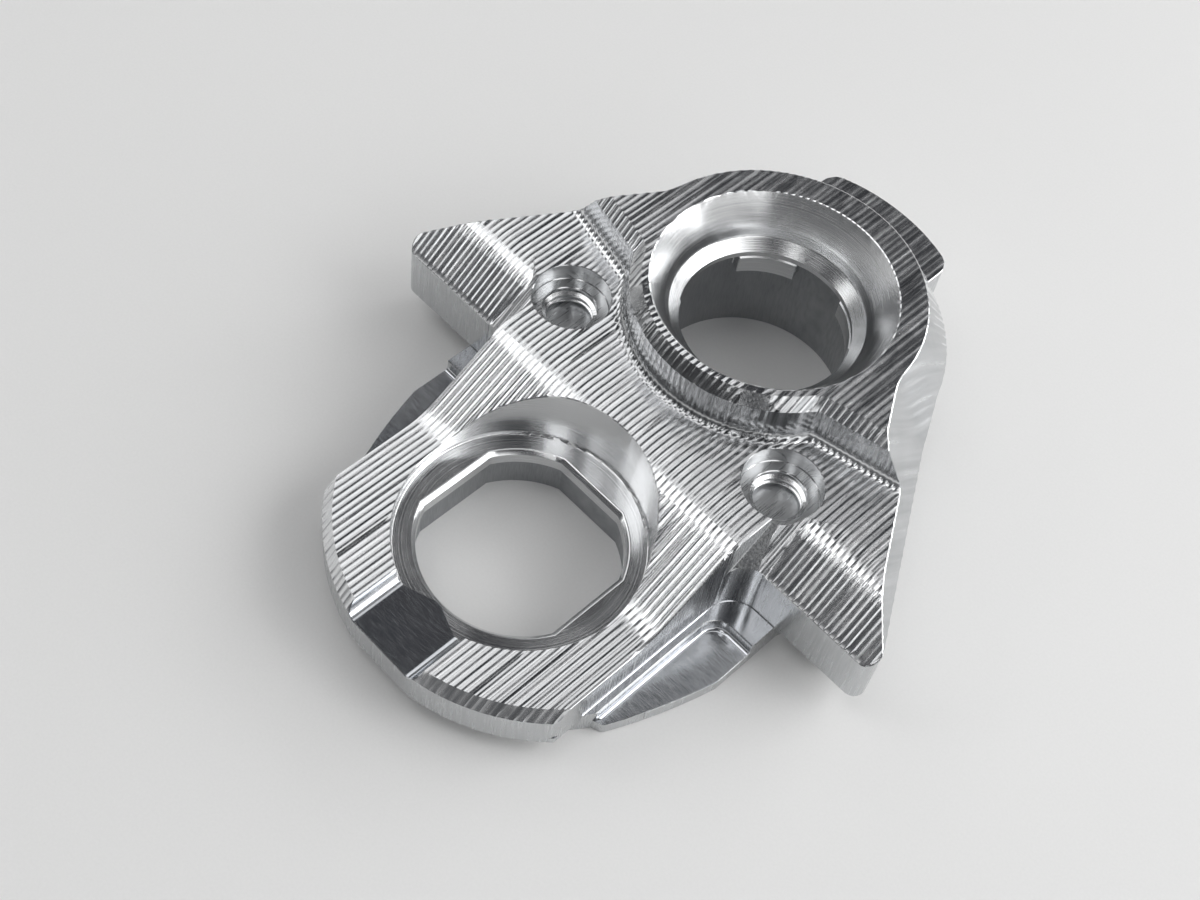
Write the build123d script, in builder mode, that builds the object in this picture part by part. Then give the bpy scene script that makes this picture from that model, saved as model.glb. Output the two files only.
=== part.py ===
from build123d import *
import os
from math import cos, radians, sin, tan

os.makedirs("parts", exist_ok=True)

# Ignition cover: one piece milled from solid aluminium, in millimetres, with +Z up.
# The origin is on the axis of the boss bore, on the plane of the mounting face.
# The cover is symmetric left and right, and +Y runs from the front bore to the boss bore.

# Heights above the mounting face
ledge_height = 2.2
lobe_underside = 3.0
wing_underside = 4.2
front_floor_height = 8.0
lobe_height = 10.0
wing_edge_height = 12.8
envelope_foot_height = 14.0
plateau_height = 19.0
tab_height = 21.3
boss_height = 26.4

# Front lobe
lobe_radius = 31.0
lobe_centre_y = -41.0
lobe_front_y = -71.5
waist_half_width = 23.2
lobe_corner_radius = 2.2
lobe_bevel_width = 1.4
lobe_bevel_height = 1.5

# Ramp that climbs from the lobe to the plateau
ramp_foot_y = -44.5
ramp_angle = 32.0
ramp_blend_radius = 10.0

# Wings
wing_front_y = -27.8
wing_slope_angle = 40.0
wing_blend_radius = 7.0
wing_tip_radius = 1.8
waist_fillet_radius = 4.5
facet_wall_half_width = 23.4
facet_foot_y = -30.7
facet_foot_height = 12.8
facet_turn = 55.0
facet_pitch = 42.0

# Flanks: the sloped outer wall that runs from the wing tips round the boss
flank_sweep = 31.0
flank_draft = 30.0
neck_depth = 2.47
flank_slope_width = 2.5
neck_radius = 9.0

# Boss and its shoulders
boss_crest_radius = 21.8
boss_skirt_radius = 26.5
boss_front_radius = 20.4
boss_bevel = 1.6
boss_foot_radius = 1.5
shoulder_wall_y = -10.1
shoulder_wall_x = 17.9
shoulder_sweep = 13.5
shoulder_corner_radius = 2.0

# Rear tab
tab_half_width = 11.6
tab_radius = 29.2
tab_corner_radius = 3.0

# Front bore with its keyed opening
front_bore_y = -46.5
front_bore_radius = 17.6
front_floor_fillet = 0.4
keyed_radius = 14.3
keyed_side_flat = 12.9
keyed_rear_flat = 13.1
keyed_bevel = 0.6
keyed_lip_thickness = 2.5
keyed_relief = 0.5

# Slot from the front bore out through the lobe
slot_half_width = 6.85
slot_fillet_radius = 1.9

# Boss bore, from its mouth down
mouth_radius = 17.7
mouth_foot_radius = 15.1
mouth_depth = 4.1
collar_radius = 14.3
collar_depth = 6.05
collar_blend_radius = 1.2
ring_radius = 12.6
ring_depth = 7.7
ring_thickness = 1.0
pocket_radius = 14.2
lug_inner_radius = 12.4
lug_depth = 3.2
lug_span = 40.0
lug_azimuth = 40.0
lug_root = 0.5
barrel_step = 0.8

# Tapped holes
tapped_x = 20.6
tapped_y = -18.8
spotface_radius = 5.7
spotface_depth = 3.0
thread_radius = 4.0
thread_length = 3.0

# Base that stands on the mounting face under the lobe, wings and boss
base_lobe_radius = 28.0
base_front_inset = 3.5
base_flank_inset = 5.0
base_boss_radius = 22.0
base_root_radius = 2.4
step_width = 1.1
step_rear_y = -32.2
step_corner_radius = 3.0
step_foot_fillet = 0.7
ledge_front_width = 2.4
ledge_front_y = -54.7
ledge_mid_width = 5.8
ledge_mid_y = -46.3
ledge_width = 8.0
ledge_shoulder_y = -38.6
ledge_corner_radius = 1.0

# Length by which a cutter runs past the material
clear = 10.0

drop = tan(radians(flank_draft))
flank_distance = boss_crest_radius + (boss_height - plateau_height) * drop - neck_depth
flank_upright_distance = flank_distance + flank_slope_width
step_half_width = waist_half_width + step_width
ledge_front_x = waist_half_width + ledge_front_width
ledge_mid_x = waist_half_width + ledge_mid_width
ledge_reach = waist_half_width + ledge_width
envelope_foot_distance = flank_distance + (plateau_height - envelope_foot_height) * drop
crest_spread = (boss_height - envelope_foot_height) * drop


def flank_x(distance, y):
    """X of the right-hand flank line that runs at this distance from the boss axis."""
    sweep = radians(flank_sweep)
    return (distance - y * sin(sweep)) / cos(sweep)


def nearest(shapes, x, y):
    """The left and right vertices that lie closest to (-x, y) and (x, y)."""
    right = min(shapes, key=lambda v: (v.X - x) ** 2 + (v.Y - y) ** 2)
    left = min(shapes, key=lambda v: (v.X + x) ** 2 + (v.Y - y) ** 2)
    return [left, right]


# Everything inside the sloped flanks, from the break line up to the boss
flank_rear_y = flank_distance * sin(radians(flank_sweep))
with BuildPart() as envelope:
    with BuildSketch() as lower_limit:
        Rectangle(8 * lobe_radius, 8 * lobe_radius)
    extrude(amount=envelope_foot_height)
    with BuildSketch(Plane.XY.offset(envelope_foot_height)) as flank_plan:
        far_y = lobe_front_y - 3 * clear
        with BuildLine():
            Polyline(
                (-flank_x(envelope_foot_distance, far_y), far_y),
                (flank_x(envelope_foot_distance, far_y), far_y),
                (flank_x(envelope_foot_distance, flank_rear_y), flank_rear_y),
                (-flank_x(envelope_foot_distance, flank_rear_y), flank_rear_y),
                close=True,
            )
        make_face()
        Circle(boss_crest_radius + crest_spread)
        neck_x = flank_x(envelope_foot_distance, 0)
        fillet(nearest(flank_plan.vertices(), neck_x, 0), neck_radius - crest_spread)
    extrude(amount=boss_height - envelope_foot_height, taper=flank_draft)

# Cutter that lowers the right wing in front of its facet
with BuildPart() as wing_cutter:
    slope = tan(radians(wing_slope_angle))
    top_y = wing_front_y + (plateau_height - wing_edge_height) / slope
    with BuildSketch(Plane.YZ.offset(facet_wall_half_width)) as wing_section:
        with BuildLine():
            Polyline(
                (wing_front_y - clear, wing_edge_height - clear * slope),
                (top_y, plateau_height),
                (top_y + clear, plateau_height),
                (top_y + clear, boss_height),
                (wing_front_y - clear, boss_height),
                close=True,
            )
        make_face()
        fillet(nearest(wing_section.vertices(), top_y, plateau_height)[1], wing_blend_radius)
    extrude(amount=2 * lobe_radius)
    turn = radians(facet_turn)
    pitch = radians(facet_pitch)
    facet = Plane(
        origin=(facet_wall_half_width, facet_foot_y, facet_foot_height),
        z_dir=(sin(pitch) * cos(turn), -sin(pitch) * sin(turn), cos(pitch)),
    )
    split(bisect_by=facet, keep=Keep.TOP)

with BuildPart() as ignition_cover:
    # Deck: lobe, waist, wings and boss skirt in one plan
    with BuildSketch(Plane.XY.offset(wing_underside)) as deck_plan:
        with BuildSketch(mode=Mode.PRIVATE) as lobe_plan:
            with Locations((0, lobe_centre_y)):
                Circle(lobe_radius)
            with Locations((0, lobe_front_y)):
                Rectangle(
                    2 * waist_half_width,
                    tapped_y - lobe_front_y,
                    align=(Align.CENTER, Align.MIN),
                    mode=Mode.INTERSECT,
                )
        add(lobe_plan.sketch)
        with BuildLine():
            Polyline(
                (-flank_x(flank_upright_distance, wing_front_y), wing_front_y),
                (flank_x(flank_upright_distance, wing_front_y), wing_front_y),
                (flank_x(flank_upright_distance, flank_rear_y), flank_rear_y),
                (-flank_x(flank_upright_distance, flank_rear_y), flank_rear_y),
                close=True,
            )
        make_face()
        Circle(boss_skirt_radius)
        tip_x = flank_x(flank_upright_distance, wing_front_y)
        fillet(nearest(deck_plan.vertices(), waist_half_width, wing_front_y), waist_fillet_radius)
        fillet(nearest(deck_plan.vertices(), tip_x, wing_front_y), wing_tip_radius)
        fillet(nearest(deck_plan.vertices(), waist_half_width, lobe_front_y), lobe_corner_radius)
    extrude(amount=plateau_height - wing_underside)

    # The ramp surface
    with BuildSketch(Plane.YZ) as ramp_section:
        ramp_top_y = ramp_foot_y + (plateau_height - lobe_height) / tan(radians(ramp_angle))
        with BuildLine():
            Polyline(
                (lobe_front_y - clear, lobe_height),
                (ramp_foot_y, lobe_height),
                (ramp_top_y, plateau_height),
                (ramp_top_y + clear, plateau_height),
                (ramp_top_y + clear, boss_height),
                (lobe_front_y - clear, boss_height),
                close=True,
            )
        make_face()
        foot_bend = nearest(ramp_section.vertices(), ramp_foot_y, lobe_height)[1]
        top_bend = nearest(ramp_section.vertices(), ramp_top_y, plateau_height)[1]
        fillet([foot_bend, top_bend], ramp_blend_radius)
    extrude(amount=2 * lobe_radius, both=True, mode=Mode.SUBTRACT)

    # Wings lowered in front, on both sides
    add(wing_cutter.part, mode=Mode.SUBTRACT)
    add(wing_cutter.part.mirror(Plane.YZ), mode=Mode.SUBTRACT)

    # Boss and shoulders, with the bevel along their front crest
    shoulder_rise = tan(radians(shoulder_sweep))
    shoulder_end_x = 2 * boss_skirt_radius
    shoulder_end_y = shoulder_wall_y + (shoulder_end_x - shoulder_wall_x) * shoulder_rise
    with BuildSketch(Plane.XY.offset(plateau_height)) as boss_plan:
        with BuildLine():
            Polyline(
                (0, shoulder_wall_y - shoulder_wall_x * shoulder_rise),
                (shoulder_end_x, shoulder_end_y),
                (shoulder_end_x, tab_radius),
                (-shoulder_end_x, tab_radius),
                (-shoulder_end_x, shoulder_end_y),
                close=True,
            )
        make_face()
        Circle(boss_front_radius)
        fillet(nearest(boss_plan.vertices(), shoulder_wall_x, shoulder_wall_y), shoulder_corner_radius)
    extrude(amount=boss_height - boss_bevel - plateau_height)
    with BuildSketch(Plane.XY.offset(boss_height - boss_bevel)):
        add(boss_plan.sketch_local)
    extrude(amount=boss_bevel, taper=45)

    # Sloped flanks
    add(envelope.part, mode=Mode.INTERSECT)

    # Lobe plate, which reaches a little lower than the wings
    with BuildSketch(Plane.XY.offset(lobe_underside)):
        add(lobe_plan.sketch)
    extrude(amount=wing_underside - lobe_underside)

    # Rear tab
    with BuildSketch(Plane.XY.offset(wing_underside)) as tab_plan:
        Circle(tab_radius)
        Rectangle(2 * tab_half_width, 2 * tab_radius, align=(Align.CENTER, Align.MIN), mode=Mode.INTERSECT)
        fillet(nearest(tab_plan.vertices(), tab_half_width, tab_radius), tab_corner_radius)
    extrude(amount=tab_height - wing_underside)

    # Base under the deck
    base_front_y = wing_front_y + base_front_inset
    base_flank = flank_upright_distance - base_flank_inset
    with BuildSketch() as base_plan:
        with Locations((0, lobe_centre_y)):
            Circle(base_lobe_radius)
            Rectangle(2 * step_half_width, 2 * base_lobe_radius, mode=Mode.INTERSECT)
            Rectangle(2 * step_half_width, step_rear_y - lobe_centre_y, align=(Align.CENTER, Align.MIN))
        with Locations((0, step_rear_y)):
            Rectangle(2 * ledge_reach, base_front_y - step_rear_y + clear, align=(Align.CENTER, Align.MIN))
        with BuildLine():
            Polyline(
                (-flank_x(base_flank, base_front_y), base_front_y),
                (flank_x(base_flank, base_front_y), base_front_y),
                (flank_x(base_flank, flank_rear_y), flank_rear_y),
                (-flank_x(base_flank, flank_rear_y), flank_rear_y),
                close=True,
            )
        make_face()
        Circle(base_boss_radius)
        fillet(nearest(base_plan.vertices(), step_half_width, step_rear_y), step_corner_radius)
        fillet(nearest(base_plan.vertices(), ledge_reach, base_front_y), base_root_radius)
    extrude(amount=wing_underside)

    # Ledges on both sides of the waist
    with BuildSketch() as ledge_plan:
        with BuildLine():
            Line((0, ledge_front_y), (waist_half_width, ledge_front_y - ledge_corner_radius))
            Line((waist_half_width, ledge_front_y - ledge_corner_radius), (ledge_front_x, ledge_front_y))
            ThreePointArc(
                (ledge_front_x, ledge_front_y),
                (ledge_mid_x, ledge_mid_y),
                (ledge_reach, ledge_shoulder_y),
            )
            Line((ledge_reach, ledge_shoulder_y), (ledge_reach, step_rear_y + step_corner_radius))
            Line((ledge_reach, step_rear_y + step_corner_radius), (0, step_rear_y + step_corner_radius))
            Line((0, step_rear_y + step_corner_radius), (0, ledge_front_y))
        make_face()
        mirror(about=Plane.YZ)
        fillet(nearest(ledge_plan.vertices(), ledge_front_x, ledge_front_y), ledge_corner_radius)
    extrude(amount=ledge_height)

    # Bevel round the curved front of the lobe
    with BuildSketch(Plane.XZ.offset(-lobe_centre_y)):
        with BuildLine():
            Polyline(
                (lobe_radius - lobe_bevel_width, lobe_height),
                (lobe_radius, lobe_height - lobe_bevel_height),
                (lobe_radius + clear, lobe_height - lobe_bevel_height),
                (lobe_radius + clear, lobe_height),
                close=True,
            )
        make_face()
    revolve(axis=Axis((0, lobe_centre_y, 0), (0, 0, 1)), revolution_arc=-180, mode=Mode.SUBTRACT)

    # Concave round where the boss and shoulders meet the plateau
    boss_foot = [
        edge
        for edge in ignition_cover.edges().filter_by_position(Axis.Z, plateau_height, plateau_height)
        if -boss_front_radius - boss_foot_radius < edge.center().Y < 0
        and (edge.geom_type == GeomType.CIRCLE or edge.center().Y > shoulder_wall_y)
    ]
    fillet(boss_foot, boss_foot_radius)

    # Concave round where the step meets the ledges
    step_foot = [
        edge
        for edge in ignition_cover.edges().filter_by_position(Axis.Z, ledge_height, ledge_height)
        if edge.center().Y > ledge_front_y + ledge_corner_radius
        and (
            abs(edge.center().X) < step_half_width + step_corner_radius
            or edge.center().Y > step_rear_y - step_foot_fillet
        )
    ]
    fillet(step_foot, step_foot_fillet)

    # Slot with round corners at its floor
    with BuildSketch(Plane.XZ.offset(-front_bore_y)) as slot_section:
        with Locations((0, front_floor_height)):
            Rectangle(2 * slot_half_width, plateau_height, align=(Align.CENTER, Align.MIN))
        fillet(nearest(slot_section.vertices(), slot_half_width, front_floor_height), slot_fillet_radius)
    extrude(amount=clear + front_bore_y - lobe_front_y, mode=Mode.SUBTRACT)

    # Front bore
    with BuildSketch(Plane.XZ.offset(-front_bore_y)) as front_bore_section:
        with Locations((0, front_floor_height)):
            Rectangle(front_bore_radius, plateau_height, align=(Align.MIN, Align.MIN))
        floor_corner = nearest(front_bore_section.vertices(), front_bore_radius, front_floor_height)[1]
        fillet(floor_corner, front_floor_fillet)
    revolve(axis=Axis((0, front_bore_y, 0), (0, 0, 1)), mode=Mode.SUBTRACT)

    # Keyed opening in the floor of the front bore, relieved below its lip
    with BuildSketch(Plane.XY.offset(front_floor_height)) as keyed_plan:
        with Locations((0, front_bore_y)):
            Circle(keyed_radius)
        with Locations((0, front_bore_y + keyed_rear_flat)):
            Rectangle(
                2 * keyed_side_flat,
                4 * keyed_radius,
                align=(Align.CENTER, Align.MAX),
                mode=Mode.INTERSECT,
            )
    extrude(amount=-front_floor_height, mode=Mode.SUBTRACT)
    floor_edges = ignition_cover.edges().filter_by_position(
        Axis.Z, front_floor_height, front_floor_height
    )
    keyed_rim = [
        edge
        for edge in floor_edges
        if (edge.start_point() - Vector(0, front_bore_y, front_floor_height)).length
        < keyed_radius + keyed_bevel
    ]
    chamfer(keyed_rim, keyed_bevel)
    with BuildSketch() as relief_plan:
        add(keyed_plan.sketch)
        offset(amount=keyed_relief, kind=Kind.INTERSECTION)
    extrude(amount=front_floor_height - keyed_lip_thickness, mode=Mode.SUBTRACT)

    # Boss bore: conical mouth, collar, stop ring, pocket between the lugs, and the barrel below them
    mouth_foot_height = boss_height - mouth_depth
    collar_height = boss_height - collar_depth
    ring_height = boss_height - ring_depth
    ring_foot_height = ring_height - ring_thickness
    seat_height = ring_foot_height - lug_depth
    barrel_radius = pocket_radius + barrel_step
    with BuildSketch(Plane.XZ) as boss_bore_section:
        with BuildLine():
            Polyline(
                (0, 0),
                (barrel_radius, 0),
                (barrel_radius, seat_height),
                (pocket_radius, seat_height),
                (pocket_radius, ring_foot_height),
                (ring_radius, ring_foot_height),
                (ring_radius, ring_height),
                (collar_radius, collar_height),
                (mouth_foot_radius, mouth_foot_height),
                (mouth_radius, boss_height),
                (0, boss_height),
                close=True,
            )
        make_face()
        collar_bend = nearest(boss_bore_section.vertices(), collar_radius, collar_height)[1]
        fillet(collar_bend, collar_blend_radius)
    revolve(axis=Axis.Z, mode=Mode.SUBTRACT)

    # Lugs that hang from the stop ring
    with BuildSketch(Plane.XY.offset(seat_height)) as lug_plan:
        Circle(pocket_radius + lug_root)
        Circle(lug_inner_radius, mode=Mode.SUBTRACT)
        with BuildSketch(mode=Mode.PRIVATE) as lug_sectors:
            reach = 2 * pocket_radius
            half_width = reach * tan(radians(lug_span / 2))
            for azimuth in (lug_azimuth, -lug_azimuth, 180 - lug_azimuth, 180 + lug_azimuth):
                with Locations(Rotation(0, 0, azimuth)):
                    Polygon((0, 0), (half_width, reach), (-half_width, reach), align=None)
        add(lug_sectors.sketch, mode=Mode.INTERSECT)
    extrude(amount=lug_depth)

    # Tapped holes with their spot faces
    with Locations((tapped_x, tapped_y, plateau_height), (-tapped_x, tapped_y, plateau_height)):
        CounterBoreHole(
            radius=thread_radius,
            counter_bore_radius=spotface_radius,
            counter_bore_depth=spotface_depth,
            depth=spotface_depth + thread_length,
        )

ignition_cover.part.label = "ignition_cover"
export_step(ignition_cover.part, "parts/ignition_cover.step")
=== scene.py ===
from math import cos, floor, hypot, pi, radians, sin

import bmesh
import bpy
from mathutils import Matrix, Vector, noise


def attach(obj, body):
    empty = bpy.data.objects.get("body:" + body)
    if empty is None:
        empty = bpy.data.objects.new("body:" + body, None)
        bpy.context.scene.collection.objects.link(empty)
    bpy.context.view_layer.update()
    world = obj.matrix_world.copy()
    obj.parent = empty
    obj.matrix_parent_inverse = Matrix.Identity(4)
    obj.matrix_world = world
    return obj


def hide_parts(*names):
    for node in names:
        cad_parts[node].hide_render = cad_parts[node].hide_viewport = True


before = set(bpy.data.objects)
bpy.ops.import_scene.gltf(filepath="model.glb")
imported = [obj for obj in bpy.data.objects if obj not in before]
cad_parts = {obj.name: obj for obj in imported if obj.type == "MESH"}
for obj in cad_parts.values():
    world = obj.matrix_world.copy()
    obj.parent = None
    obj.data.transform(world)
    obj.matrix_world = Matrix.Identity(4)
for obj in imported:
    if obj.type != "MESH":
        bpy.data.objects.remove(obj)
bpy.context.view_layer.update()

NODE = "ignition_cover"
MM = 0.001

# Places on the cover, in millimetres from the axis of the boss bore and the mounting face
FRONT_BORE_Y = -46.5
FRONT_BORE_RADIUS = 17.6
FRONT_FLOOR = 8.0
FRONT_FLOOR_ROUND = 0.4
RELIEF_RADIUS = 15.0
LIP_FOOT = 5.5
BELOW_LOBE_TOP = 9.8
ABOVE_LOBE_TOP = 10.5
LOBE_CENTRE_Y = -41.0
LOBE_BEVEL_FOOT = 8.5
LOBE_BEVEL_RADIUS = 29.5
LOBE_CORNER_X = 14.0
LOBE_CORNER_Y = -50.0
LOBE_CORNER_TOP = 9.5
PLATEAU = 19.0
ABOVE_PLATEAU = 19.05
BELOW_TAB_TOP = 21.2
BOSS_TOP = 26.4
BOSS_BEVEL_HEIGHT = 1.6
BOSS_SIDE_HALF_WIDTH = 23.5
MOUTH_RADIUS = 17.7
RING_FOOT = 17.7
BARREL_INSIDE = 13.9
BARREL_OUTSIDE = 15.1
FLANK_INNER_X = 14.0
TAPPED_X = 20.6
TAPPED_Y = -18.8
SPOTFACE_RADIUS = 5.7
# How near counts as on a face or a rim, and the height where edges begin to be broken
ON_FACE = 0.02
ON_RIM = 0.05
ABOVE_BASE = 0.5

# Thread of the tapped holes
THREAD_FLOOR = 13.0
THREAD_OUTER_RADIUS = 4.0
THREAD_INNER_RADIUS = 3.45
THREAD_ROOT = 0.05
THREAD_PITCH = 1.0
THREAD_TURNS = 2.1
THREAD_CREST = 0.30
THREAD_FOOT = 0.88
THREAD_CLEARANCE = 0.005
STEPS_PER_TURN = 40
THREAD_STEPS = round(STEPS_PER_TURN * THREAD_TURNS)

# Which way a face looks: limits for its normal, and the facing of the corner facets
DOWNWARD = -0.7
UPWARD = 0.2
LEVEL = 0.9
FLAT = 0.97
SIDEWAYS = 0.5
FACET_FACING = Vector((0.384, -0.548, 0.743))
FACET_MATCH = 0.995

# Ridges that the ball cutter leaves between its passes
PASS_STEP = 0.93
PASS_DEPTH = 0.077
PASS_CUTS = (0.0, 0.25, 0.5, 0.75)
LENGTH_STEP = 2.5
BOSS_PASS_TURN = radians(-5)
BOSS_PASS_DEPTH = 0.028
BEVEL_PASS_DEPTH = 0.045
BOSS_RIDGE_SHARE = 0.14
BOSS_PASS_CUTS = (0.0, 0.5 - BOSS_RIDGE_SHARE, 0.5, 0.5 + BOSS_RIDGE_SHARE)
DEPTH_CHANGE = 0.22
CREST_DROP = 0.18
# Steps through the noise, per pass and per millimetre along it, and where it starts
DEPTH_NOISE = (0.83, 0.11, 0.5)
CREST_NOISE = (0.71, 0.16, 7.5)
# How far the passes reach
HALF_WIDTH = 47.0
FRONT_END = -62.0
REAR_END = 30.0

# Deburring, shading and clean-up of the mesh
EDGE_BREAK = 0.20
EDGE_SHARE = 0.6
RIM_ANGLE = radians(40)
SHARP_ANGLE = radians(50)
SMOOTH_ANGLE = radians(23)
THREAD_SMOOTH_ANGLE = radians(30)
SAME_PLANE = radians(0.1)
SAME_POINT = 0.001
SMALLEST_EDGE = 0.002
AREA_WEIGHT = 60

# Camera at the photograph's place, for its 1200 x 900 frame
CAMERA_PLACE = (0.078244, -0.136992, 0.209389)
CAMERA_AIM = (-0.001603, -0.030664, 0.013)
CAMERA_ROLL = radians(10.9)
CAMERA_LENS = 51.6
CAMERA_SENSOR = 36.0

# Studio, in metres
FLOOR_SIZE = 3.0
FLOOR_HEIGHT = -0.00005
FLOOR_FADE_MM = (170.0, 650.0)
PALE = (0.74, 0.74, 0.735, 1)
GREY = (0.14, 0.142, 0.146, 1)
DARK_CLOTH = (0.035, 0.036, 0.040, 1)
PALE_WALL = (0.62, 0.62, 0.62, 1)
PALE_WALL_WAY = Vector((0.75, 0.55, 0.25)).normalized()
ACROSS, DEEP = (1, 0, 0), (0, 1, 0)

# Light boxes: name, the way to it from the cover, its distance, the way its length runs,
# its length and width in metres, and how bright its own face is
LIGHT_BOXES = (
    ("left_strip", (-0.72, 0.20, 0.68), 0.80, DEEP, 0.66, 0.34, 1.15),
    ("right_top_strip", (0.00, 0.24, 0.96), 0.80, DEEP, 0.52, 0.24, 1.0),
    ("front_top_strip", (-0.33, -0.20, 0.92), 0.80, ACROSS, 0.50, 0.30, 1.7),
    ("front_left_strip", (-0.64, -0.38, 0.66), 0.80, DEEP, 0.30, 0.18, 2.2),
    ("front_thin_strip", (-0.15, -0.54, 0.83), 0.80, DEEP, 0.30, 0.09, 1.5),
    ("front_right_strip", (0.18, -0.46, 0.87), 0.80, DEEP, 0.24, 0.10, 3.0),
    ("front_low_left", (-0.72, -0.52, 0.45), 0.90, DEEP, 0.20, 0.16, 1.6),
    ("front_low_right", (0.28, -0.69, 0.67), 0.90, DEEP, 0.20, 0.16, 1.6),
    ("right_box", (0.80, -0.20, 0.50), 0.80, DEEP, 0.50, 0.30, 1.2),
    ("rear_card", (0.64, 0.66, 0.40), 0.90, ACROSS, 0.80, 0.70, 2.9),
    ("rear_right_card", (0.64, 0.34, 0.68), 0.80, DEEP, 0.36, 0.36, 2.8),
    ("rear_low_card", (0.10, 0.92, 0.38), 0.90, ACROSS, 0.50, 0.24, 3.2),
)


# Material helpers

def new_material(name):
    material = bpy.data.materials.new(name)
    material.use_nodes = True
    nodes, links = material.node_tree.nodes, material.node_tree.links
    nodes.clear()
    output = nodes.new("ShaderNodeOutputMaterial")
    shader = nodes.new("ShaderNodeBsdfPrincipled")
    links.new(shader.outputs["BSDF"], output.inputs["Surface"])
    return material, nodes, links, shader


def new_metal(name, centre=(0.0, 0.0, 0.0)):
    material, nodes, links, shader = new_material(name)
    shader.inputs["Metallic"].default_value = 1.0
    return material, nodes, links, shader, object_position(nodes, links, centre)


def object_position(nodes, links, centre=(0.0, 0.0, 0.0)):
    """Place on the cover in millimetres, measured from the given centre."""
    place = nodes.new("ShaderNodeTexCoord")
    mapping = nodes.new("ShaderNodeMapping")
    mapping.inputs["Scale"].default_value = (1 / MM, 1 / MM, 1 / MM)
    mapping.inputs["Location"].default_value = tuple(-c for c in centre)
    links.new(place.outputs["Object"], mapping.inputs["Vector"])
    return mapping.outputs["Vector"]


def combine(nodes, links, operation, first, second=None):
    node = nodes.new("ShaderNodeMath")
    node.operation = operation
    for socket, value in zip(node.inputs, (first, second)):
        if isinstance(value, (int, float)):
            socket.default_value = value
        elif value is not None:
            links.new(value, socket)
    return node.outputs[0]


def shared(nodes, links, first, share, second):
    """The first value by its share, plus the second by the rest."""
    return combine(nodes, links, "ADD", combine(nodes, links, "MULTIPLY", first, share),
                   combine(nodes, links, "MULTIPLY", second, 1 - share))


def stretched_noise(nodes, links, position, scale, detail=4.0, turn=0.0):
    """Noise stretched by the three scales, per millimetre."""
    mapping = nodes.new("ShaderNodeMapping")
    mapping.inputs["Scale"].default_value = scale
    mapping.inputs["Rotation"].default_value = (0, 0, turn)
    texture = nodes.new("ShaderNodeTexNoise")
    texture.inputs["Scale"].default_value = 1.0
    texture.inputs["Detail"].default_value = detail
    links.new(position, mapping.inputs["Vector"])
    links.new(mapping.outputs["Vector"], texture.inputs["Vector"])
    return texture.outputs["Fac"]


def spread(nodes, links, value, low, high, from_low=0.35, from_high=0.65):
    node = nodes.new("ShaderNodeMapRange")
    node.inputs["From Min"].default_value = from_low
    node.inputs["From Max"].default_value = from_high
    node.inputs["To Min"].default_value = low
    node.inputs["To Max"].default_value = high
    links.new(value, node.inputs["Value"])
    return node.outputs["Result"]


def tint(nodes, links, value, dark, light, shader):
    ramp = nodes.new("ShaderNodeValToRGB")
    for stop, position, colour in zip(ramp.color_ramp.elements, (0.3, 0.7), (dark, light)):
        stop.position = position
        stop.color = (*colour, 1)
    links.new(value, ramp.inputs["Fac"])
    links.new(ramp.outputs["Color"], shader.inputs["Base Color"])


def raise_marks(nodes, links, height, depth_mm, shader, before=None):
    bump = nodes.new("ShaderNodeBump")
    bump.inputs["Strength"].default_value = 1.0
    bump.inputs["Distance"].default_value = depth_mm * MM
    links.new(height, bump.inputs["Height"])
    if before is not None:
        links.new(before, bump.inputs["Normal"])
    links.new(bump.outputs["Normal"], shader.inputs["Normal"])
    return bump.outputs["Normal"]


# Finishes of the aluminium

def ridged_aluminium(name, turn, rough):
    """Bright cutter passes: each has its own shine, with fine drag lines along it."""
    material, nodes, links, shader, position = new_metal(name)
    passes = stretched_noise(nodes, links, position, (1.1, 0.035, 0.035), 3.0, -turn)
    drag = stretched_noise(nodes, links, position, (14.0, 0.35, 0.35), 5.0, -turn)
    chatter = stretched_noise(nodes, links, position, (1.3, 0.4, 0.4), 3.0, -turn)
    tint(nodes, links, passes, (0.70, 0.71, 0.725), (0.86, 0.865, 0.875), shader)
    uneven = shared(nodes, links, passes, 0.6, chatter)
    links.new(spread(nodes, links, uneven, rough * 0.7, rough * 1.5), shader.inputs["Roughness"])
    waves = raise_marks(nodes, links, chatter, 0.003, shader)
    raise_marks(nodes, links, drag, 0.002, shader, waves)
    return material


def turned_aluminium(name, centre_y, rough):
    """Bores turned round their own axis: fine rings, brighter in some places than others."""
    material, nodes, links, shader, position = new_metal(name, (0, centre_y, 0))
    parts = nodes.new("ShaderNodeSeparateXYZ")
    links.new(position, parts.inputs[0])
    across = combine(nodes, links, "MULTIPLY", parts.outputs["X"], parts.outputs["X"])
    along = combine(nodes, links, "MULTIPLY", parts.outputs["Y"], parts.outputs["Y"])
    radius = combine(nodes, links, "SQRT", combine(nodes, links, "ADD", across, along))
    lines = nodes.new("ShaderNodeTexNoise")
    lines.noise_dimensions = "1D"
    lines.inputs["Scale"].default_value = 5.0
    lines.inputs["Detail"].default_value = 6.0
    lines.inputs["Roughness"].default_value = 0.65
    links.new(combine(nodes, links, "ADD", radius, parts.outputs["Z"]), lines.inputs["W"])
    ring = lines.outputs["Fac"]
    smudge = stretched_noise(nodes, links, position, (0.12, 0.12, 0.2))
    tint(nodes, links, ring, (0.68, 0.69, 0.70), (0.84, 0.845, 0.85), shader)
    uneven = shared(nodes, links, ring, 0.5, smudge)
    links.new(spread(nodes, links, uneven, rough * 0.7, rough * 1.5), shader.inputs["Roughness"])
    raise_marks(nodes, links, ring, 0.008, shader)
    return material


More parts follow.
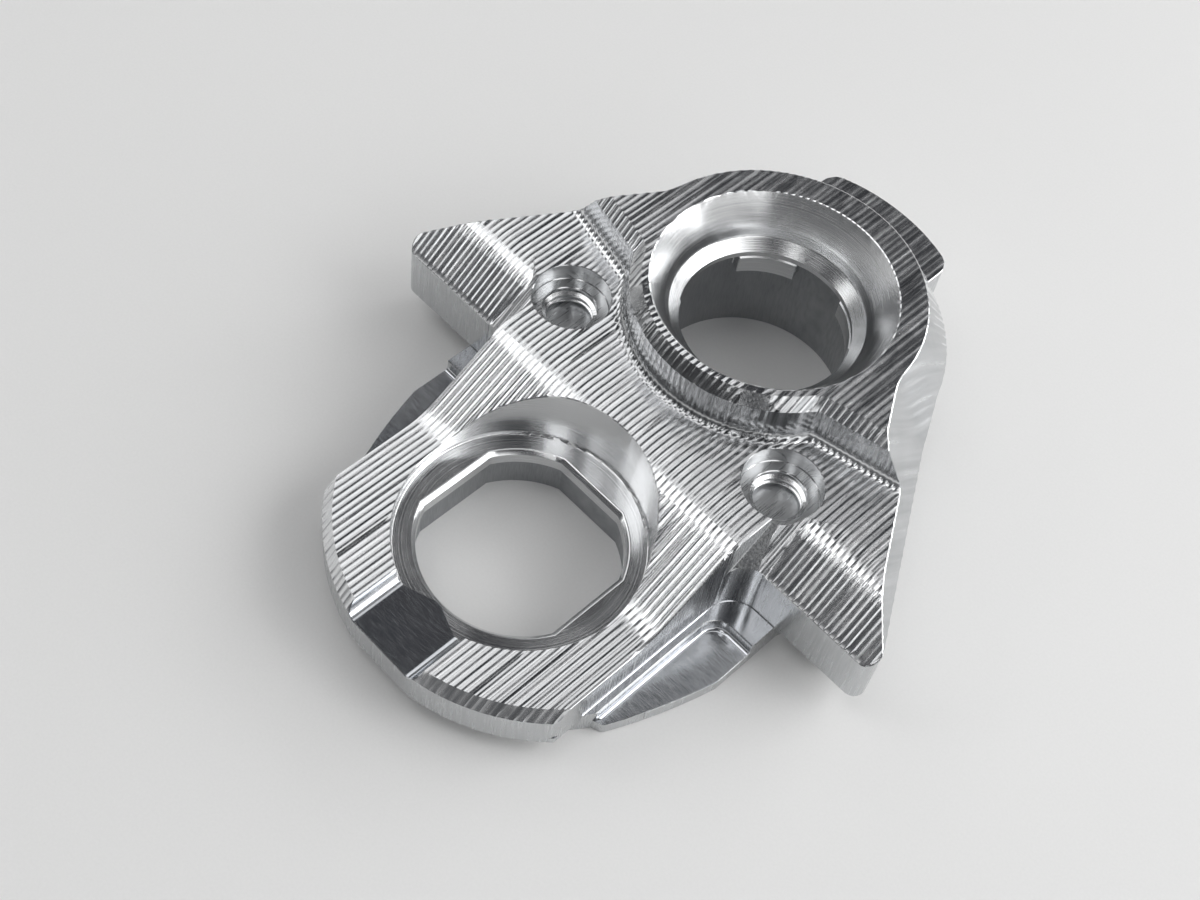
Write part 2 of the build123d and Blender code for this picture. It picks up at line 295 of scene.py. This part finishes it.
def end_milled_aluminium(name, rough, dark, light):
    """Faces cut by the side or end of the cutter: smooth, with scratches and faint arcs."""
    material, nodes, links, shader, position = new_metal(name)
    level = stretched_noise(nodes, links, position, (0.5, 0.5, 9.0), 5.0)
    smudge = stretched_noise(nodes, links, position, (0.08, 0.08, 0.08), 3.0)
    scratch = stretched_noise(nodes, links, position, (0.5, 11.0, 0.5), 6.0, radians(25))
    arcs = nodes.new("ShaderNodeTexWave")
    arcs.wave_type = "RINGS"
    arcs.rings_direction = "Z"
    arcs.inputs["Scale"].default_value = 0.55
    arcs.inputs["Distortion"].default_value = 1.5
    arcs.inputs["Detail"].default_value = 3.0
    links.new(position, arcs.inputs["Vector"])
    tint(nodes, links, smudge, dark, light, shader)
    roughness = spread(nodes, links, scratch, rough * 0.7, rough * 1.7, 0.3, 0.7)
    links.new(roughness, shader.inputs["Roughness"])
    marks = combine(nodes, links, "ADD", combine(nodes, links, "MULTIPLY", level, 0.3),
                    combine(nodes, links, "MULTIPLY", arcs.outputs["Fac"], 0.1))
    marks = combine(nodes, links, "ADD", marks,
                    combine(nodes, links, "MULTIPLY", scratch, 0.6))
    raise_marks(nodes, links, marks, 0.003, shader)
    return material


def lined_aluminium(name, scale, rough, depth_mm, dark, light, turn=0.0):
    """Faces with fine lines one way, where the side of a cutter has run along them."""
    material, nodes, links, shader, position = new_metal(name)
    line = stretched_noise(nodes, links, position, scale, 4.0, turn)
    smudge = stretched_noise(nodes, links, position, (0.10, 0.10, 0.15), 3.0)
    uneven = shared(nodes, links, line, 0.7, smudge)
    tint(nodes, links, uneven, dark, light, shader)
    links.new(spread(nodes, links, uneven, rough * 0.75, rough * 1.3), shader.inputs["Roughness"])
    raise_marks(nodes, links, line, depth_mm, shader)
    return material


# Zones of the cover, in the order of their finishes

(DECK, BOSS_CREST, BOSS_BORE, FRONT_BORE, FLOORS, WALLS, UNDERSIDE, SHADED_DEEP_WALLS,
 HOLES, BOSS_SIDE, FLANKS, HOLE_FLOORS, BOSS_BEVEL) = range(13)


def zone_finishes():
    """A finish for each zone; the bevel of the boss has the one of its side."""
    dull, bright, shiny = (0.52, 0.53, 0.54), (0.65, 0.66, 0.67), (0.80, 0.805, 0.81)
    finishes = [
        ridged_aluminium("ridged_deck", 0.0, 0.20),
        ridged_aluminium("ridged_boss_crest", BOSS_PASS_TURN, 0.15),
        turned_aluminium("turned_boss_bore", 0.0, 0.20),
        turned_aluminium("turned_front_bore", FRONT_BORE_Y, 0.20),
        end_milled_aluminium("milled_floors", 0.15, (0.54, 0.56, 0.59), (0.66, 0.675, 0.70)),
        lined_aluminium("milled_walls", (3.5, 3.5, 0.20), 0.24, 0.002, dull, bright),
        end_milled_aluminium("milled_underside", 0.30, (0.66, 0.67, 0.68), (0.78, 0.785, 0.79)),
        # The walls deep under the boss ring and the front lip get a darker tint than the rest:
        # painted shade in these recesses.
        end_milled_aluminium("deep_walls_painted_shade", 0.42, (0.36, 0.37, 0.385), (0.46, 0.47, 0.48)),
        lined_aluminium("bored_holes", (0.15, 0.15, 3.0), 0.20, 0.002, bright, shiny),
        lined_aluminium(
            "boss_side", (2.2, 0.04, 0.04), 0.18, 0.004, (0.26, 0.265, 0.27), bright),
        lined_aluminium(
            "raked_flanks", (1.5, 0.03, 0.05), 0.22, 0.008, (0.40, 0.41, 0.42), bright),
        lined_aluminium(
            "hole_floors", (5.0, 0.25, 0.25), 0.30, 0.008, dull, bright, radians(-20)),
    ]
    return finishes + [finishes[BOSS_SIDE]]


def zone_of(centre, normal):
    """The finish of a face, told by its place (in millimetres) and the way it faces."""
    x, y, z = centre
    from_boss = hypot(x, y)
    from_front = hypot(x, y - FRONT_BORE_Y)
    from_tapped = hypot(abs(x) - TAPPED_X, y - TAPPED_Y)
    if z < ON_FACE or normal.z < DOWNWARD:
        return UNDERSIDE
    # Deep walls under the boss ring and the front lip, whose finish carries painted shade.
    if BARREL_INSIDE < from_boss < BARREL_OUTSIDE and z < RING_FOOT:
        return SHADED_DEEP_WALLS
    if from_front < RELIEF_RADIUS and z < LIP_FOOT:
        return SHADED_DEEP_WALLS
    on_boss_top = normal.z > LEVEL and z > BOSS_TOP - ON_FACE
    if from_boss < MOUTH_RADIUS + ON_FACE and not on_boss_top:
        return BOSS_BORE
    if from_tapped < SPOTFACE_RADIUS + ON_FACE and z < PLATEAU - ON_FACE:
        return HOLE_FLOORS if normal.z > LEVEL else HOLES
    on_front_floor = z < FRONT_FLOOR + FRONT_FLOOR_ROUND
    if from_front < FRONT_BORE_RADIUS + ON_FACE and (on_front_floor or abs(normal.z) < UPWARD):
        return FRONT_BORE
    past_lobe_bevel = hypot(x, y - LOBE_CENTRE_Y) > LOBE_BEVEL_RADIUS and z > LOBE_BEVEL_FOOT
    if past_lobe_bevel and normal.z > UPWARD:
        return DECK
    if z < BELOW_LOBE_TOP and normal.z > UPWARD:
        return FLOORS
    if Vector((abs(normal.x), normal.y, normal.z)).dot(FACET_FACING) > FACET_MATCH:
        return WALLS
    if normal.z > FLAT and z > BELOW_TAB_TOP:
        return BOSS_CREST
    if z > ABOVE_PLATEAU and y < 0 and abs(x) < BOSS_SIDE_HALF_WIDTH:
        return BOSS_BEVEL if z > BOSS_TOP - BOSS_BEVEL_HEIGHT else BOSS_SIDE
    return DECK if normal.z > UPWARD else WALLS


def zone_flanks(cover):
    """Give the steep ridged faces beside the boss the finish of the raked flanks."""
    for face in cover.data.polygons:
        steep = abs(face.normal.x) > SIDEWAYS and abs(face.center.x) > FLANK_INNER_X * MM
        if face.material_index == DECK and steep and face.center.z > ABOVE_LOBE_TOP * MM:
            face.material_index = FLANKS


# Cutter passes and edges

def scalloped(part):
    """Depth across one pass of a ball cutter, from -0.5 to 0.5: deepest in the middle."""
    return 1 - (2 * part) ** 2


def narrow_ridged(part):
    """Depth across one pass of a flatter cutter: level, with a thin ridge at each side."""
    return min(1.0, (0.5 - abs(part)) / BOSS_RIDGE_SHARE)


def cut_passes(slot, turn, places):
    """Cut the faces of one slot into narrow strips, several to each pass of the cutter."""
    across = Vector((cos(turn), sin(turn), 0))
    along = Vector((-sin(turn), cos(turn), 0))
    bpy.context.object.active_material_index = slot
    half_passes = int(HALF_WIDTH / PASS_STEP) + 1
    strips = [
        (across, (middle + place) * PASS_STEP)
        for middle in range(-half_passes, half_passes)
        for place in places
    ]
    lengths = int((REAR_END - FRONT_END) / LENGTH_STEP)
    strips += [(along, FRONT_END + cut * LENGTH_STEP) for cut in range(1, lengths)]
    for facing, offset in strips:
        bpy.ops.mesh.select_all(action="DESELECT")
        bpy.ops.object.material_slot_select()
        bpy.ops.mesh.bisect(plane_co=facing * offset * MM, plane_no=facing)


def pass_noise(number, length, steps):
    """Smooth noise at a length along the pass, or the crest, of this number."""
    per_pass, per_mm, start = steps
    return noise.noise(Vector((number * per_pass, length * per_mm, start)))


def sink_passes(cover, slots, turn, depth, shape):
    """Sink the middle of each pass, so that a sharp ridge is left between two passes."""
    mesh = bmesh.new()
    mesh.from_mesh(cover.data)
    moves = {}
    for vertex in mesh.verts:
        facing = Vector()
        for face in vertex.link_faces:
            if face.material_index in slots:
                facing += face.normal * face.calc_area()
        if facing.length == 0:
            continue
        offset = (vertex.co.x * cos(turn) + vertex.co.y * sin(turn)) / MM / PASS_STEP
        length = (vertex.co.y * cos(turn) - vertex.co.x * sin(turn)) / MM
        middle = floor(offset + 0.5)
        part = offset - middle
        uneven = pass_noise(middle, length, DEPTH_NOISE)
        worn = pass_noise(floor(offset), length, CREST_NOISE)
        sink = shape(part) * (1 + DEPTH_CHANGE * uneven)
        sink += max(0.0, worn) * CREST_DROP * (2 * part) ** 2
        moves[vertex] = facing.normalized() * (-depth * sink * MM)
    for vertex, move in moves.items():
        vertex.co += move
    mesh.to_mesh(cover.data)
    mesh.free()


def edge_weight(edge):
    """How much of the full break an edge gets: all of it round the keyed opening."""
    middle = (edge.verts[0].co + edge.verts[1].co) / 2 / MM
    bend = edge.calc_face_angle(0)
    in_front_bore = hypot(middle.x, middle.y - FRONT_BORE_Y) < RELIEF_RADIUS
    if in_front_bore and abs(middle.z - FRONT_FLOOR) < ON_RIM and bend > RIM_ANGLE:
        return 1.0
    beside_slot = abs(middle.x) > LOBE_CORNER_X and middle.y < LOBE_CORNER_Y
    at_lobe_corner = beside_slot and middle.z < LOBE_CORNER_TOP
    if bend > SHARP_ANGLE and not at_lobe_corner and middle.z > ABOVE_BASE:
        return EDGE_SHARE
    return 0.0


def break_edges(piece):
    """Take the sharpness off the edges, as deburring does, save at the corners of the lobe."""
    mesh = bmesh.new()
    mesh.from_mesh(piece.data)
    weight = mesh.edges.layers.float.new("bevel_weight_edge")
    for edge in mesh.edges:
        edge[weight] = edge_weight(edge)
    mesh.to_mesh(piece.data)
    mesh.free()
    edges = piece.modifiers.new("edges", "BEVEL")
    edges.width = EDGE_BREAK * MM
    edges.segments = 1
    edges.limit_method = "WEIGHT"
    edges.use_clamp_overlap = False
    bpy.ops.object.modifier_apply(modifier="edges")


def level_flats(piece):
    """Keep wide flat faces flat where they run into narrow round ones."""
    weights = piece.modifiers.new("level_flats", "WEIGHTED_NORMAL")
    weights.mode = "FACE_AREA"
    weights.weight = AREA_WEIGHT
    weights.keep_sharp = True
    bpy.ops.object.modifier_apply(modifier="level_flats")


def edit_all():
    """Edit mode, with the whole mesh selected."""
    bpy.ops.object.mode_set(mode="EDIT")
    bpy.ops.mesh.select_all(action="SELECT")


def copy_of_node():
    """The CAD node's shape as a piece of its own, in one closed mesh with flat faces whole."""
    node = bpy.data.objects[NODE]
    cover = node.copy()
    cover.data = node.data.copy()
    cover.name = "milled_cover"
    bpy.context.collection.objects.link(cover)
    bpy.ops.object.select_all(action="DESELECT")
    cover.select_set(True)
    bpy.context.view_layer.objects.active = cover
    bpy.ops.mesh.customdata_custom_splitnormals_clear()
    cover.data.materials.clear()
    for finish in zone_finishes():
        cover.data.materials.append(finish)
    edit_all()
    bpy.ops.mesh.remove_doubles(threshold=SAME_POINT * MM)
    bpy.ops.object.mode_set(mode="OBJECT")
    for face in cover.data.polygons:
        face.material_index = zone_of(face.center / MM, face.normal)
    edit_all()
    bpy.ops.mesh.dissolve_limited(angle_limit=SAME_PLANE, delimit={"MATERIAL"})
    bpy.ops.object.mode_set(mode="OBJECT")
    return cover


def milled_cover():
    """The cover with the ridges of its cutter passes cut into the upper faces."""
    cover = copy_of_node()
    break_edges(cover)
    bpy.ops.object.mode_set(mode="EDIT")
    cut_passes(DECK, 0.0, PASS_CUTS)
    cut_passes(BOSS_CREST, BOSS_PASS_TURN, BOSS_PASS_CUTS)
    cut_passes(BOSS_BEVEL, BOSS_PASS_TURN, BOSS_PASS_CUTS)
    cut_passes(BOSS_SIDE, 0.0, PASS_CUTS)
    bpy.ops.object.mode_set(mode="OBJECT")
    sink_passes(cover, (DECK, BOSS_SIDE), 0.0, PASS_DEPTH, scalloped)
    sink_passes(cover, (BOSS_CREST,), BOSS_PASS_TURN, BOSS_PASS_DEPTH, narrow_ridged)
    sink_passes(cover, (BOSS_BEVEL,), BOSS_PASS_TURN, BEVEL_PASS_DEPTH, narrow_ridged)
    edit_all()
    bpy.ops.mesh.remove_doubles(threshold=SMALLEST_EDGE * MM)
    bpy.ops.mesh.dissolve_degenerate(threshold=SMALLEST_EDGE * MM)
    bpy.ops.object.mode_set(mode="OBJECT")
    zone_flanks(cover)
    bpy.ops.object.shade_smooth_by_angle(angle=SMOOTH_ANGLE)
    level_flats(cover)
    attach(cover, "root")
    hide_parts(NODE)


def hole_thread(name, x, finish):
    """The thread of one tapped hole: a flat-crested ridge wound round its wall."""
    bpy.ops.object.select_all(action="DESELECT")
    bpy.ops.mesh.primitive_circle_add(vertices=4, fill_type="NGON")
    thread = bpy.context.object
    thread.name = name
    profile = (
        (THREAD_OUTER_RADIUS + THREAD_ROOT, -THREAD_FOOT / 2),
        (THREAD_INNER_RADIUS, -THREAD_CREST / 2),
        (THREAD_INNER_RADIUS, THREAD_CREST / 2),
        (THREAD_OUTER_RADIUS + THREAD_ROOT, THREAD_FOOT / 2),
    )
    for vertex, (radius, height) in zip(thread.data.vertices, profile):
        vertex.co = Vector((radius * MM, 0, height * MM))
    turns = thread.modifiers.new("turns", "SCREW")
    turns.angle = radians(360 * THREAD_TURNS)
    turns.screw_offset = THREAD_PITCH * THREAD_TURNS * MM
    turns.steps = THREAD_STEPS
    turns.render_steps = THREAD_STEPS
    bpy.ops.object.modifier_apply(modifier="turns")
    edit_all()
    bpy.ops.mesh.remove_doubles(threshold=SAME_POINT * MM)
    bpy.ops.mesh.fill_holes(sides=4)
    bpy.ops.mesh.select_all(action="SELECT")
    bpy.ops.mesh.normals_make_consistent(inside=False)
    start = THREAD_FLOOR + THREAD_FOOT / 2 + THREAD_CLEARANCE
    bpy.ops.transform.translate(value=(x * MM, TAPPED_Y * MM, start * MM))
    bpy.ops.object.mode_set(mode="OBJECT")
    bpy.ops.object.shade_smooth_by_angle(angle=THREAD_SMOOTH_ANGLE)
    thread.data.materials.clear()
    thread.data.materials.append(finish)
    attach(thread, "root")


# Stage

def stage_floor():
    bpy.ops.mesh.primitive_plane_add(size=FLOOR_SIZE, location=(0, 0, FLOOR_HEIGHT))
    floor_plane = bpy.context.object
    floor_plane.name = "studio_floor"
    material, nodes, links, shader = new_material("pale_floor")
    position = object_position(nodes, links)
    grain = stretched_noise(nodes, links, position, (2.5, 2.5, 2.5), 6.0)
    tint(nodes, links, grain, (0.765, 0.765, 0.76), (0.785, 0.785, 0.78), shader)
    shader.inputs["Roughness"].default_value = 0.6
    keep_far_floor_pale(nodes, links, position, shader)
    floor_plane.data.materials.append(material)


def keep_far_floor_pale(nodes, links, position, shader):
    """Beyond the reach of the lights the floor shows its own colour to the eye and to gloss."""
    away = nodes.new("ShaderNodeVectorMath")
    away.operation = "LENGTH"
    links.new(position, away.inputs[0])
    far = spread(nodes, links, away.outputs["Value"], 0.0, 1.0, *FLOOR_FADE_MM)
    ray = nodes.new("ShaderNodeLightPath")
    seen = combine(
        nodes, links, "MAXIMUM", ray.outputs["Is Camera Ray"], ray.outputs["Is Glossy Ray"])
    glow = nodes.new("ShaderNodeEmission")
    glow.inputs["Color"].default_value = PALE
    blend = nodes.new("ShaderNodeMixShader")
    links.new(combine(nodes, links, "MULTIPLY", far, seen), blend.inputs["Fac"])
    links.new(shader.outputs["BSDF"], blend.inputs[1])
    links.new(glow.outputs["Emission"], blend.inputs[2])
    output = next(node for node in nodes if node.type == "OUTPUT_MATERIAL")
    links.new(blend.outputs["Shader"], output.inputs["Surface"])


def soft_light(name, way, distance, along, length, width, shine):
    """A flat light box that faces the cover; shine is how bright its own face is."""
    lamp = bpy.data.lights.new(name, "AREA")
    lamp.shape = "RECTANGLE"
    lamp.size = length
    lamp.size_y = width
    lamp.energy = shine * pi * length * width
    back = Vector(way).normalized()
    side = (Vector(along) - back * back.dot(Vector(along))).normalized()
    turned = Matrix((side, back.cross(side), back)).transposed().to_4x4()
    holder = bpy.data.objects.new(name, lamp)
    holder.matrix_world = Matrix.Translation(Vector(CAMERA_AIM) + back * distance) @ turned
    bpy.context.collection.objects.link(holder)


def studio_world():
    """A studio room: pale low down and behind on the right, with dark cloth overhead."""
    world = bpy.data.worlds.new("studio")
    world.use_nodes = True
    nodes, links = world.node_tree.nodes, world.node_tree.links
    place = nodes.new("ShaderNodeTexCoord")
    parts = nodes.new("ShaderNodeSeparateXYZ")
    links.new(place.outputs["Generated"], parts.inputs[0])
    room = nodes.new("ShaderNodeValToRGB")
    levels = room.color_ramp.elements
    levels[0].position = 0.10
    levels[0].color = PALE
    levels[1].position = 0.75
    levels[1].color = DARK_CLOTH
    levels.new(0.22).color = GREY
    links.new(parts.outputs["Z"], room.inputs["Fac"])
    side = nodes.new("ShaderNodeVectorMath")
    side.operation = "DOT_PRODUCT"
    side.inputs[1].default_value = PALE_WALL_WAY
    links.new(place.outputs["Generated"], side.inputs[0])
    pale = spread(nodes, links, side.outputs["Value"], 0.0, 1.0, 0.52, 0.85)
    walls = nodes.new("ShaderNodeMix")
    walls.data_type = "RGBA"
    colours_in = {socket.identifier: socket for socket in walls.inputs}
    colours_out = {socket.identifier: socket for socket in walls.outputs}
    links.new(room.outputs["Color"], colours_in["A_Color"])
    colours_in["B_Color"].default_value = PALE_WALL
    links.new(pale, walls.inputs["Factor"])
    links.new(colours_out["Result_Color"], nodes["Background"].inputs["Color"])
    bpy.context.scene.world = world


def photograph_camera():
    lens = bpy.data.cameras.new("photograph_camera")
    lens.lens = CAMERA_LENS
    lens.sensor_width = CAMERA_SENSOR
    camera = bpy.data.objects.new("photograph_camera", lens)
    looking = Vector(CAMERA_AIM) - Vector(CAMERA_PLACE)
    turned = looking.to_track_quat("-Z", "Y").to_matrix().to_4x4()
    camera.matrix_world = (
        Matrix.Translation(CAMERA_PLACE) @ turned @ Matrix.Rotation(CAMERA_ROLL, 4, "Z")
    )
    bpy.context.collection.objects.link(camera)
    bpy.context.scene.camera = camera


milled_cover()
thread_finish = turned_aluminium("turned_thread", TAPPED_Y, 0.18)
hole_thread("thread_left", -TAPPED_X, thread_finish)
hole_thread("thread_right", TAPPED_X, thread_finish)
stage_floor()
for light_box in LIGHT_BOXES:
    soft_light(*light_box)
studio_world()
photograph_camera()
bpy.context.scene.view_settings.view_transform = "Standard"
